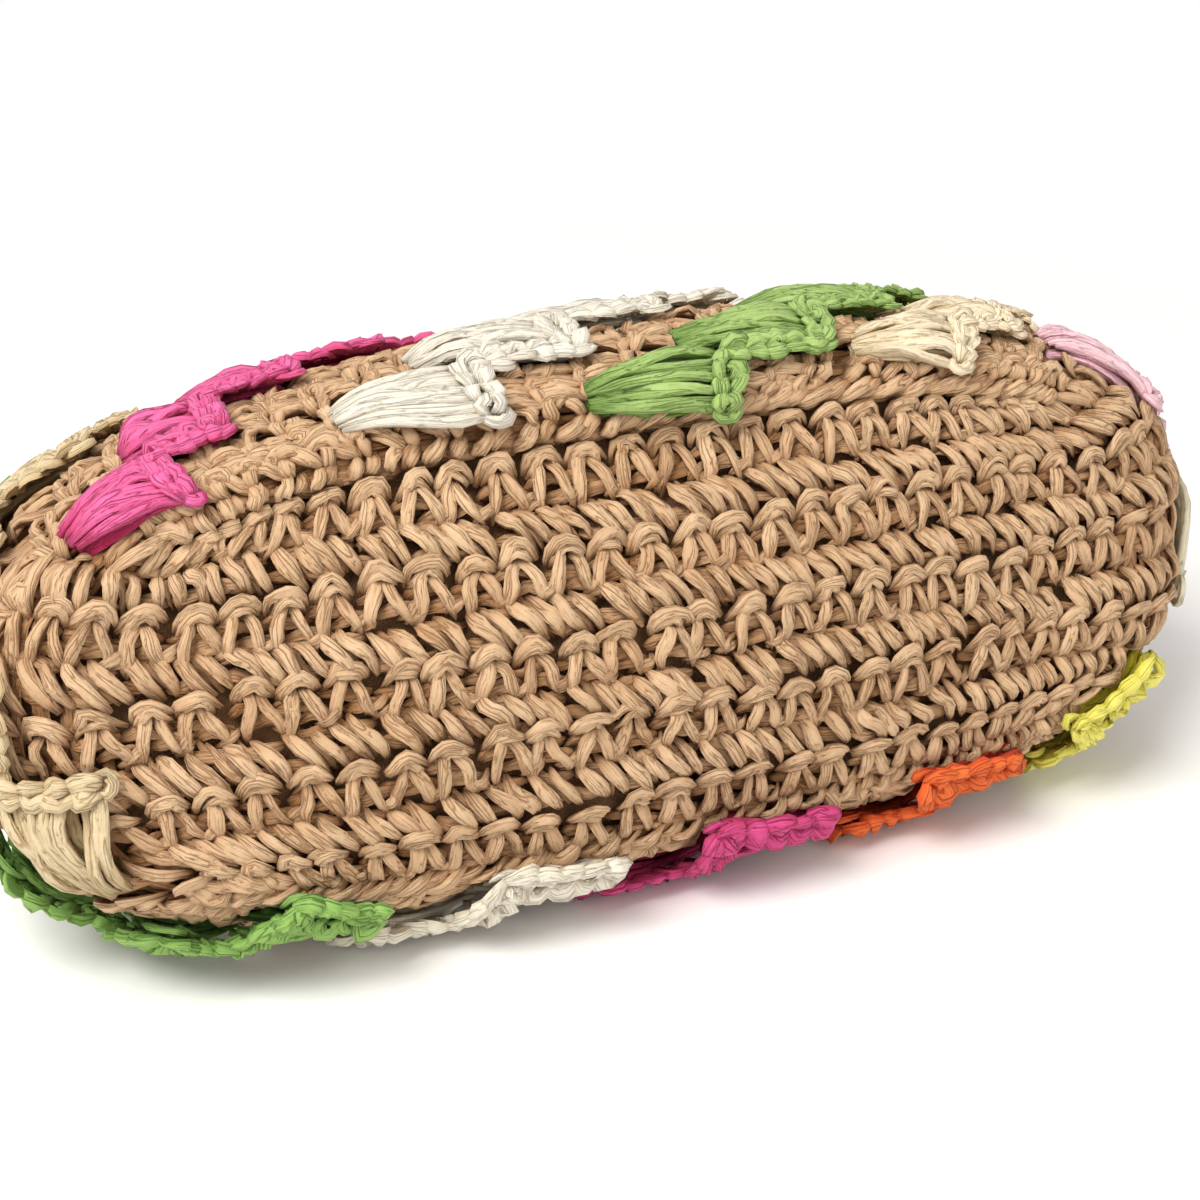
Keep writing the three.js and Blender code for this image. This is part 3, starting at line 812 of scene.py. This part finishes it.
class HANDBAG_OT_side(bpy.types.Operator):
    """Works the brown shells between the coloured strips, and the rounds that join them to the base"""

    bl_idname = "handbag.side"
    bl_label = "Brown side"

    LIFT = -1.4
    SHELL_SPACING = 13.0
    POSTS = 4
    POST_SPREAD = 4.9
    END_ROOM = 3.0
    # The chain along a shell's tops: how far below and above its root, its lean and its links.
    EDGE_LOW = 5.0
    EDGE_HIGH = 13.0
    EDGE_LEAN = 2.0
    EDGE_LINKS = 3
    LINK_SPREAD = 2.0
    LINK_LIFT = 0.3
    BORDER_PITCH = 9.5
    GROUND_START = 4.0
    GROUND_PITCH = 6.0
    GROUND_STROKES = 34
    GROUND = ((-0.1, -4.6), (0.5, -3.8), (1.1, -4.6))
    SEAM_LINKS = 26
    SEAM_RUN = 1.5
    SEAM_SPREAD = 1.6
    SEAM_LIFT = -3.2
    TOP_ROUND = 183.0
    TOP_LINKS = 80
    TOP_SPREAD = 2.2
    # How unevenly the hand works each kind of stroke.
    HAND = {
        "posts": (0.8, 0.5, 0.3),
        "links": (0.45, 0.45, 0.3),
        "ground": (1.0, 0.7, 0.25),
        "seam": (0.4, 0.3, 0.3),
        "border": (0.5, 0.4, 0.25),
    }
    SLANT = {
        "thick": [(0.0, -0.06, -3.6), (0.26, 0.32, -0.9), (0.58, 0.68, -0.7), (0.96, 1.06, -3.4)],
        "thin": [(0.42, -0.04, -3.8), (0.70, 0.36, -1.8), (0.98, 0.66, -1.6), (1.24, 1.0, -3.6)],
    }
    ARCH = {
        "left_leg": [(0.10, -0.10, -3.8), (0.16, 0.24, -1.7), (0.28, 0.62, -1.2), (0.44, 0.94, -3.2)],
        "right_leg": [(0.98, -0.08, -3.8), (0.86, 0.24, -1.8), (0.70, 0.58, -1.3), (0.54, 0.92, -3.2)],
        "cap": [
            (0.00, 0.52, -3.9), (0.14, 0.86, -1.2), (0.46, 1.04, -0.6),
            (0.78, 0.94, -0.8), (0.98, 0.60, -3.4),
        ],
    }

    def execute(self, context):
        self.sizes = context.scene.handbag_yarn
        shells, edges = Yarn(23), Yarn(29)
        posts, links, border = [], [], {}
        starts = list(STRIP_STARTS.values())
        for start, following in zip(starts, starts[1:] + starts[:1]):
            apart = (following[0] - start[0]) % PERIMETER
            self.work_shells(shells.rng, posts, links, start, following, apart)
            self.work_border(border, start, apart)
        self.lay(shells, "posts", on_side(posts), 0.73, 1.0, samples=8, sides=8, ends=(0.4, 0.55))
        top = even_points((0, self.TOP_ROUND), (PERIMETER, self.TOP_ROUND), self.TOP_LINKS)
        self.lay(shells, "links", chain_links(top, self.TOP_SPREAD, self.LIFT), 0.84, 1.0, samples=6, sides=6)
        self.lay(edges, "links", on_side(links), 0.76, 1.0, samples=6, sides=6)
        self.lay(edges, "ground", on_side(self.ground()), 0.8, 0.7, samples=5, sides=5)
        seam = []
        for corner in (0, PERIMETER / 2):
            edge = even_points((corner, self.SEAM_RUN), (corner + ROUND_LONG, self.SEAM_RUN), self.SEAM_LINKS)
            seam += chain_links(edge, self.SEAM_SPREAD, self.SEAM_LIFT)
        self.lay(edges, "seam", on_side(seam), 0.74, 0.85, samples=6, sides=6)
        for strokes in border.values():
            self.lay(edges, "border", on_side(strokes), 0.72, 1.0, samples=9, sides=8, ends=(0.35, 0.5))
        for row in range(BASE_ROWS):
            work_row(shells, row, range(-END_STITCHES, 0))
            work_row(shells, row, range(BASE_STITCHES, BASE_STITCHES + END_STITCHES))
        add_brown("side_shells", shells)
        add_brown("side_edges", edges)
        return {"FINISHED"}

    def lay(self, yarn, kind, strokes, wide, thick, **form):
        """Lays strokes over the side, as unevenly as their kind is worked, in shares of the yarn's sizes."""
        strokes = jittered(yarn.rng, strokes, *self.HAND[kind])
        yarn.lay(side_point, strokes, wide * self.sizes.width, thick * self.sizes.thickness, **form)

    def work_shells(self, rng, posts, links, start, following, apart):
        """Adds the shells and their edges that fill the way from one strip to the next."""
        behind = (start[1] - following[1]) * SHELL_STEP_ROUND / SHELL_STEP_UP
        gap = apart + behind - SHELL_LENGTH
        count = max(1, round(gap / self.SHELL_SPACING))
        length = gap / count + 2
        for around, run in strip_shells(start, after=1):
            for n in range(count):
                root = around + SHELL_LENGTH - 1 + n * gap / count
                if on_end(root + length / 2) and run < END_STITCHES * STITCH - self.END_ROOM:
                    continue
                posts += shell_posts(rng, root, run, length, self.POST_SPREAD, self.LIFT, self.POSTS)
                tops = root + length
                end = (tops + self.EDGE_LEAN, run + self.EDGE_HIGH)
                edge = even_points((tops, run - self.EDGE_LOW), end, self.EDGE_LINKS)
                links += chain_links(edge, self.LINK_SPREAD, self.LIFT + self.LINK_LIFT)

    def ground(self):
        """Sunken rounds of yarn that carry the shells and show between them."""
        step = PERIMETER / self.GROUND_STROKES
        strokes = []
        for run in np.arange(self.GROUND_START, SIDE_RUN, self.GROUND_PITCH):
            for i in range(self.GROUND_STROKES):
                strokes.append([((i + share) * step, run, h) for share, h in self.GROUND])
        return strokes

    def work_border(self, border, start, apart):
        """Adds the rows of slants and arches between the panel's edge and one strip's first shell."""
        rows = max(1, round((start[1] - 3) / self.BORDER_PITCH))
        pitch = (start[1] - 1) / rows
        stitches = round(apart / STITCH)
        step = apart / stitches
        for row in range(rows):
            stitch = self.ARCH if row % 2 else self.SLANT
            for name, shape in stitch.items():
                strokes = border.setdefault(name, [])
                for i in range(stitches):
                    stroke = [(start[0] + (i + a) * step, (row + b) * pitch, h) for a, b, h in shape]
                    if not on_end(start[0] + (i + 0.5) * step):
                        strokes.append(stroke)


class HANDBAG_OT_rim(bpy.types.Operator):
    """Works the plain rounds that finish the mouth"""

    bl_idname = "handbag.rim"
    bl_label = "Rim"

    ROUNDS = 2
    STITCHES = 72
    PITCH = 8.5
    TOP = SIDE_RUN - 1
    LEG = ((0.0, 0.0, -3.8), (0.22, 0.4, -1.2), (0.46, 0.95, -1.4), (0.52, 1.2, -3.6))
    HAND = (0.3, 0.3, 0.2)
    # The spread and lift of the two chains that bind the edge, outside and inside.
    CHAINS = ((1.9, -1.6), (1.6, -3.6))

    def execute(self, context):
        sizes = context.scene.handbag_yarn
        yarn = Yarn(31)
        step = PERIMETER / self.STITCHES
        strokes = []
        for n in range(self.ROUNDS):
            run = self.TOP - (self.ROUNDS - n) * self.PITCH
            for i in range(self.STITCHES):
                strokes += fork(self.LEG, (i + 0.5 * (n % 2)) * step, run, step, self.PITCH)
        strokes = jittered(yarn.rng, strokes, *self.HAND)
        strokes[..., 1] = np.minimum(strokes[..., 1], self.TOP)
        yarn.lay(side_point, strokes, sizes.width, 1.1 * sizes.thickness, samples=7, sides=8)
        edge = even_points((0, self.TOP), (PERIMETER, self.TOP), self.STITCHES)
        for spread, lift in self.CHAINS:
            links = chain_links(edge, spread, lift)
            yarn.lay(side_point, links, 0.8 * sizes.width, sizes.thickness, samples=6, sides=6)
        add_brown("rim_stitches", yarn)
        return {"FINISHED"}


class HANDBAG_OT_strips(bpy.types.Operator):
    """Works the coloured strips, each a stack of shells edged with a chain"""

    bl_idname = "handbag.strips"
    bl_label = "Coloured strips"

    LIFT = 2.9
    UNDER_LIFT = -0.2
    UNDER_POSTS = 5
    POST_SPREAD = 3.4
    UNDER_SPREAD = 3.9
    LINK_SPREAD = 2.1
    LINK_LIFT = 0.4
    # The chain along a shell's tops and on to the next shell.
    EDGE_LOW = 6.0
    EDGE_HIGH = 12.5
    EDGE_LINKS = 4
    NEXT_EDGE = 13.0
    NEXT_LINKS = 5
    PICOT = ((-1.5, -4, -1.8), (-2.5, -7.5, -0.6), (0.5, -9.5, -0.3), (3.5, -7.5, -0.6), (2.5, -4, -1.8))
    POST_HAND = (0.5, 0.4, 0.25)
    LINK_HAND = (0.35, 0.35, 0.2)
    PICOT_HAND = (0.3, 0.3, 0.1)
    # The strips along the lower edge, whose first shells are edged all along and pushed out.
    PUSHED_OUT = ("yellow", "orange", "magenta", "cream", "leaf_green")
    PUSH = 2.2
    FIRST_EDGE = 2.5
    FIRST_LINKS = 5

    def execute(self, context):
        sizes = context.scene.handbag_yarn
        colours = context.scene.handbag_colours
        length = SHELL_LENGTH - 2
        for seed, (name, start) in enumerate(STRIP_STARTS.items()):
            yarn = Yarn(100 + seed)
            posts, under, links, picots = [], [], [], []
            roots = strip_shells(start)
            push = self.PUSH if name in self.PUSHED_OUT else 0.0
            for around, run in roots:
                posts += shell_posts(yarn.rng, around, run, length, self.POST_SPREAD, self.LIFT)
                under += shell_posts(
                    yarn.rng, around, run, length, self.UNDER_SPREAD, self.UNDER_LIFT, self.UNDER_POSTS
                )
                tops = around + length
                corner = (tops + 1, run + self.EDGE_HIGH)
                edge = even_points((tops, run - self.EDGE_LOW), corner, self.EDGE_LINKS)
                if push and (around, run) == roots[0]:
                    root = (around + 1, run - self.FIRST_EDGE)
                    edge = even_points(root, edge[0], self.FIRST_LINKS)[:-1] + edge
                if (around, run) != roots[-1]:
                    end = (tops + SHELL_STEP_ROUND, run + self.NEXT_EDGE)
                    edge += even_points(corner, end, self.NEXT_LINKS)[1:]
                links += chain_links(edge, self.LINK_SPREAD + 0.3 * push, self.LIFT + self.LINK_LIFT + push)
                picots.append([(tops + a, run + b, self.LIFT + h) for a, b, h in self.PICOT])
            posts = jittered(yarn.rng, posts, *self.POST_HAND)
            links = jittered(yarn.rng, links, *self.LINK_HAND)
            picots = jittered(yarn.rng, picots, *self.PICOT_HAND)
            under = np.array(under)
            for strokes in (posts, under, links, picots):
                strokes[..., 1] = np.maximum(strokes[..., 1], 0)
            width, thickness = sizes.width, sizes.thickness
            link_width, link_thickness = 0.95 * width + 0.4 * push, 1.1 * thickness + 0.5 * push
            yarn.lay(side_point, posts, 0.66 * width, 1.05 * thickness, samples=9, sides=8, ends=(0.5, 0.7))
            yarn.lay(side_point, under, width, thickness, samples=6, sides=5, ends=(0.7, 0.7))
            yarn.lay(side_point, links, link_width, link_thickness, samples=6, sides=6)
            yarn.lay(side_point, picots, 0.62 * width, 0.8 * thickness, samples=9, sides=6)
            material = straw_material(f"{name}_paper_straw", tuple(getattr(colours, name)), *STRIP_DEPTHS)
            mesh = yarn.mesh(f"{name}_shells")
            add_piece(f"{name}_shells", mesh, material, [f"{name}_shell_strip"])
        return {"FINISHED"}


class HANDBAG_OT_handles(bpy.types.Operator):
    """Works the two round handles in spirals of small stitches"""

    bl_idname = "handbag.handles"
    bl_label = "Handles"

    # How far apart the legs stand and how far each handle reaches out.
    FRONT = (96.0, 92.0)
    BACK = (132.0, 118.0)
    # Each leg's way out from the rim: shares of half the spread, of the reach and of the way down.
    LEG = ((1.0, 0.0, 0.0), (1.0, None, 0.0), (1.0, 0.30, 0.35), (0.93, 0.62, 0.8), (0.55, 0.92, 1.0))
    STITCH_LEG = ((0.0, 0.0, -3.0), (0.26, 0.45, -0.9), (0.46, 0.95, -1.0), (0.5, 1.25, -3.0))
    HAND = (0.04, 0.25, 0.15)
    SPIRAL = 0.35
    SAMPLES = 240
    STRAIGHT = 7.0
    SEAT = 0.3
    LIFT = 0.5
    STITCHES_ROUND = 6
    PITCH = 7.5
    CORE = 4.0
    CORE_STEP = 8

    def path(self, spread, reach, rim_z, far_z):
        """The handle's middle line, densely sampled, in millimetres."""
        seat = RIM_Y + self.SEAT
        leg = []
        for wide, out, down in self.LEG:
            out = self.STRAIGHT / reach if out is None else out
            leg.append((spread / 2 * wide, seat + reach * out, rim_z + (far_z - rim_z) * down))
        points = [(-x, y, z) for x, y, z in leg] + [(0.0, seat + reach, far_z)] + leg[::-1]
        return smooth_through(np.array([points]), self.SAMPLES)[0]

    def execute(self, context):
        far_z = HANDLE_RADIUS + self.LIFT
        high = UNDERSIDE_SETTLE * MOUTH_HEIGHT / 2 + MOUTH_HEIGHT / 2
        self.work("front_handle", 41, self.path(*self.FRONT, FLOOR + high - WALL / 2, far_z))
        self.work("back_handle", 43, self.path(*self.BACK, max(FLOOR + WALL / 2, far_z), far_z))
        return {"FINISHED"}

    def work(self, node, seed, line):
        """Wraps one handle's middle line in stitches over a plain core."""
        sizes = bpy.context.scene.handbag_yarn
        run = np.concatenate([[0], np.linalg.norm(np.diff(line, axis=0), axis=1).cumsum()])
        tangent = unit(np.gradient(line, axis=0))
        sideways = unit(np.cross(tangent, (0, 0, 1.0)))
        upward = np.cross(sideways, tangent)

        def at(values, along):
            """Values of the line's points, read a run along it."""
            return np.stack([np.interp(along, run, values[:, n]) for n in range(3)], -1)

        def place(points):
            """Places (turn, run, height) round the handle; gives the point and the normal there."""
            turn, along, height = points[..., 0], np.clip(points[..., 1], 0, run[-1]), points[..., 2]
            out = at(sideways, along) * np.cos(turn)[..., None] + at(upward, along) * np.sin(turn)[..., None]
            return at(line, along) + out * (HANDLE_RADIUS + height)[..., None], out

        yarn = Yarn(seed)
        step = 2 * math.pi / self.STITCHES_ROUND
        rounds = int(run[-1] / self.PITCH)
        pitch = run[-1] / rounds
        strokes = []
        for n in range(rounds):
            for i in range(self.STITCHES_ROUND):
                strokes += fork(self.STITCH_LEG, (i + self.SPIRAL * n) * step, n * pitch, step, pitch)
        strokes = jittered(yarn.rng, strokes, *self.HAND)
        yarn.lay(place, strokes, 0.82 * sizes.width, 0.8 * sizes.thickness, samples=6, sides=6)
        core = line[None, :: self.CORE_STEP]
        level = np.full(core.shape[:2], -self.CORE)
        normal = np.broadcast_to(upward[:: self.CORE_STEP], core.shape)
        yarn.sweep(core, normal, level, 2 * self.CORE, 2 * self.CORE, 8, (1.0, 1.0))
        add_brown(f"{node}_stitches", yarn, node)


class HANDBAG_OT_lining(bpy.types.Operator):
    """Sews the cloth lining inside the bag"""

    bl_idname = "handbag.lining"
    bl_label = "Lining"

    COLUMNS = 48
    ROWS = 18
    ROUNDS = 40
    THICKNESS = 0.6
    INSET = 0.16
    SIDE_INSET = 0.8
    # Each pucker's depth, its length round the bag and its drift up the side.
    PUCKERS = ((0.45, 21, 60), (0.35, 9, -45))
    FLAT_LENGTH = 0.40
    SEAM_SHARE = 1.05

    def execute(self, context):
        faces = []
        columns = np.linspace(0, BASE_STITCHES, self.COLUMNS + 1).clip(self.INSET, BASE_STITCHES - self.INSET)
        rows = np.linspace(0, BASE_ROWS, self.ROWS + 1).clip(self.INSET, BASE_ROWS - self.INSET)
        stitch, row = np.meshgrid(columns, rows, indexing="ij")
        inner = np.stack([stitch, row, np.full(stitch.shape, LINING_OFFSET)], -1)
        points = list(panel_point(inner)[0].reshape(-1, 3))
        for i in range(self.COLUMNS):
            for j in range(self.ROWS):
                a = i * (self.ROWS + 1) + j
                faces.append((a, a + self.ROWS + 1, a + self.ROWS + 2, a + 1))
        long_edge = np.linspace(0, ROUND_LONG, self.COLUMNS + 1)[:-1]
        short_edge = ROUND_LONG + np.linspace(0, ROUND_END, self.ROWS + 1)[:-1]
        around = np.concatenate([long_edge, short_edge])
        around = np.concatenate([around, around + PERIMETER / 2])
        ring_ids = [i * (self.ROWS + 1) + self.ROWS for i in range(self.COLUMNS)]
        ring_ids += [self.COLUMNS * (self.ROWS + 1) + self.ROWS - j for j in range(self.ROWS)]
        ring_ids += [(self.COLUMNS - i) * (self.ROWS + 1) for i in range(self.COLUMNS)]
        ring_ids += list(range(self.ROWS))
        ripple = np.random.default_rng(7).uniform(0, 2 * math.pi, len(self.PUCKERS))
        last = ring_ids
        for n in range(1, self.ROUNDS + 1):
            run = n / self.ROUNDS * (SIDE_RUN - LINING_SHORT_OF_RIM)
            pucker = sum(
                depth * np.sin(around / wave + shift + run / drift)
                for (depth, wave, drift), shift in zip(self.PUCKERS, ripple)
            )
            offset = LINING_OFFSET - self.SIDE_INSET + pucker
            ring = np.stack([around, np.full(around.shape, run), offset], -1)
            first = len(points)
            points += list(side_point(ring)[0])
            ids = list(range(first, first + len(around)))
            for k in range(len(ids)):
                after = (k + 1) % len(ids)
                faces.append((last[k], last[after], ids[after], ids[k]))
            last = ids
        mesh = bpy.data.meshes.new("lining_cloth_bag")
        points = np.array(points)
        mesh.from_pydata(((points + SHIFT) * MM).tolist(), [], faces)
        mesh.polygons.foreach_set("use_smooth", np.ones(len(faces), bool))
        uv = mesh.uv_layers.new(name="cloth")
        for loop in mesh.loops:
            x, y, z = points[loop.vertex_index]
            uv.data[loop.index].uv = (x + 0.4 * z, y + 0.6 * z)
        material = lining_material(tuple(context.scene.handbag_colours.lining))
        piece = add_piece("lining_cloth_bag", mesh, material, ["lining"])
        solid = piece.modifiers.new("Cloth thickness", "SOLIDIFY")
        solid.thickness = self.THICKNESS * MM
        solid.offset = 0
        return {"FINISHED"}


class HANDBAG_OT_stage(bpy.types.Operator):
    """Sets the pale floor, the soft light and the camera"""

    bl_idname = "handbag.stage"
    bl_label = "Stage"

    AZIMUTH = math.radians(-22.5)
    ELEVATION = math.radians(26.5)
    CAMERA_FROM_PANEL = (-165.4, -355.1, 203.1)
    LENS = 57.0
    SENSOR = 36.0
    NEAR = 0.01
    FLOOR_SIZE = 9.0
    FLOOR_BELOW = 0.0005
    FADE = (0.2, 0.5)
    SKY = (1.0, 0.97, 0.93, 1)
    SKY_STRENGTH = 0.6
    # Each lamp's name, place, size, power and colour.
    LAMPS = (
        ("window", (-0.85, -0.45, 1.35), 0.9, 27.0, (1.0, 0.98, 0.95)),
        ("fill", (0.9, -1.3, 0.8), 1.6, 7.0, (1.0, 0.97, 0.93)),
    )
    AIM = (0, -0.06, 0.05)

    def execute(self, context):
        bpy.ops.object.select_all(action="DESELECT")
        self.floor()
        self.lights(context.scene)
        self.camera(context.scene)
        context.scene.view_settings.view_transform = "Standard"
        return {"FINISHED"}

    def floor(self):
        """The pale floor, which fades to white away from the bag."""
        bpy.ops.mesh.primitive_plane_add(size=self.FLOOR_SIZE, location=(0, 0, -self.FLOOR_BELOW))
        floor = bpy.context.object
        floor.name = "pale_floor"
        bpy.ops.object.transform_apply(location=True, rotation=True, scale=True)
        material, tree, shader = new_material("pale_floor")
        shader.inputs["Base Color"].default_value = (0.9, 0.9, 0.9, 1)
        shader.inputs["Roughness"].default_value = 0.85
        place = tree.nodes.new("ShaderNodeNewGeometry")
        far = tree.nodes.new("ShaderNodeVectorMath")
        far.operation = "LENGTH"
        tree.links.new(place.outputs["Position"], far.inputs[0])
        fade = link_range(tree, far.outputs["Value"], *self.FADE, 0.0, 1.0)
        seen = link_math(tree, "MULTIPLY", fade, self.seen_directly(tree))
        white = tree.nodes.new("ShaderNodeEmission")
        mix = tree.nodes.new("ShaderNodeMixShader")
        tree.links.new(seen, mix.inputs[0])
        tree.links.new(shader.outputs[0], mix.inputs[1])
        tree.links.new(white.outputs[0], mix.inputs[2])
        tree.links.new(mix.outputs[0], tree.nodes["Material Output"].inputs["Surface"])
        floor.data.materials.append(material)

    def seen_directly(self, tree):
        """Whether the view, or a gloss or glass in it, looks straight at the background."""
        ray = tree.nodes.new("ShaderNodeLightPath").outputs
        mirrored = link_math(tree, "MAXIMUM", ray["Is Glossy Ray"], ray["Is Transmission Ray"])
        return link_math(tree, "MAXIMUM", ray["Is Camera Ray"], mirrored)

    def lights(self, scene):
        """A soft sky that is seen as white, and two lamps."""
        world = bpy.data.worlds.new("soft_studio")
        world.use_nodes = True
        tree = world.node_tree
        sky = tree.nodes["Background"]
        sky.inputs["Color"].default_value = self.SKY
        sky.inputs["Strength"].default_value = self.SKY_STRENGTH
        seen = tree.nodes.new("ShaderNodeBackground")
        seen.inputs["Color"].default_value = (1, 1, 1, 1)
        either = tree.nodes.new("ShaderNodeMixShader")
        tree.links.new(self.seen_directly(tree), either.inputs["Fac"])
        tree.links.new(sky.outputs["Background"], either.inputs[1])
        tree.links.new(seen.outputs["Background"], either.inputs[2])
        tree.links.new(either.outputs["Shader"], tree.nodes["World Output"].inputs["Surface"])
        scene.world = world
        for lamp in self.LAMPS:
            self.lamp(*lamp)

    def lamp(self, name, place, size, power, colour):
        """An area lamp turned to the bag."""
        data = bpy.data.lights.new(name, "AREA")
        data.size = size
        data.energy = power
        data.color = colour
        lamp = bpy.data.objects.new(name, data)
        lamp.location = place
        aim = Vector(self.AIM) - Vector(place)
        lamp.rotation_euler = aim.to_track_quat("-Z", "Y").to_euler()
        bpy.context.scene.collection.objects.link(lamp)

    def camera(self, scene):
        """The camera, placed from the middle of the base panel."""
        data = bpy.data.cameras.new("camera")
        data.lens = self.LENS
        data.sensor_width = self.SENSOR
        data.clip_start = self.NEAR
        camera = bpy.data.objects.new("camera", data)
        a, e = self.AZIMUTH, self.ELEVATION
        back = Vector((math.sin(a) * math.cos(e), -math.cos(a) * math.cos(e), math.sin(e)))
        right = Vector((math.cos(a), math.sin(a), 0))
        up = back.cross(right)
        panel_middle = np.array([0, PANEL_MIDDLE_Y, PANEL_MIDDLE_Z]) + SHIFT
        place = Vector((panel_middle + np.array(self.CAMERA_FROM_PANEL)) * MM)
        turned = Matrix((right, up, back)).transposed().to_4x4()
        camera.matrix_world = Matrix.Translation(place) @ turned
        scene.collection.objects.link(camera)
        scene.camera = camera


STEPS = (
    HANDBAG_OT_stage,
    HANDBAG_OT_base,
    HANDBAG_OT_side,
    HANDBAG_OT_rim,
    HANDBAG_OT_strips,
    HANDBAG_OT_handles,
    HANDBAG_OT_lining,
)


class HANDBAG_PT_panel(bpy.types.Panel):
    """Lists the steps that make the handbag"""

    bl_idname = "HANDBAG_PT_panel"
    bl_label = "Handbag"
    bl_space_type = "VIEW_3D"
    bl_region_type = "UI"
    bl_category = "Handbag"

    def draw(self, context):
        for step in STEPS:
            self.layout.operator(step.bl_idname)
        for group in (context.scene.handbag_yarn, context.scene.handbag_colours):
            for name in group.__annotations__:
                self.layout.prop(group, name)


CLASSES = (HandbagYarn, HandbagColours, *STEPS, HANDBAG_PT_panel)


def register():
    for cls in CLASSES:
        bpy.utils.register_class(cls)
    bpy.types.Scene.handbag_yarn = bpy.props.PointerProperty(type=HandbagYarn)
    bpy.types.Scene.handbag_colours = bpy.props.PointerProperty(type=HandbagColours)


def unregister():
    del bpy.types.Scene.handbag_colours
    del bpy.types.Scene.handbag_yarn
    for cls in reversed(CLASSES):
        bpy.utils.unregister_class(cls)


def main():
    register()
    for step in STEPS:
        group, name = step.bl_idname.split(".")
        getattr(getattr(bpy.ops, group), name)()


if __name__ == "__main__":
    main()
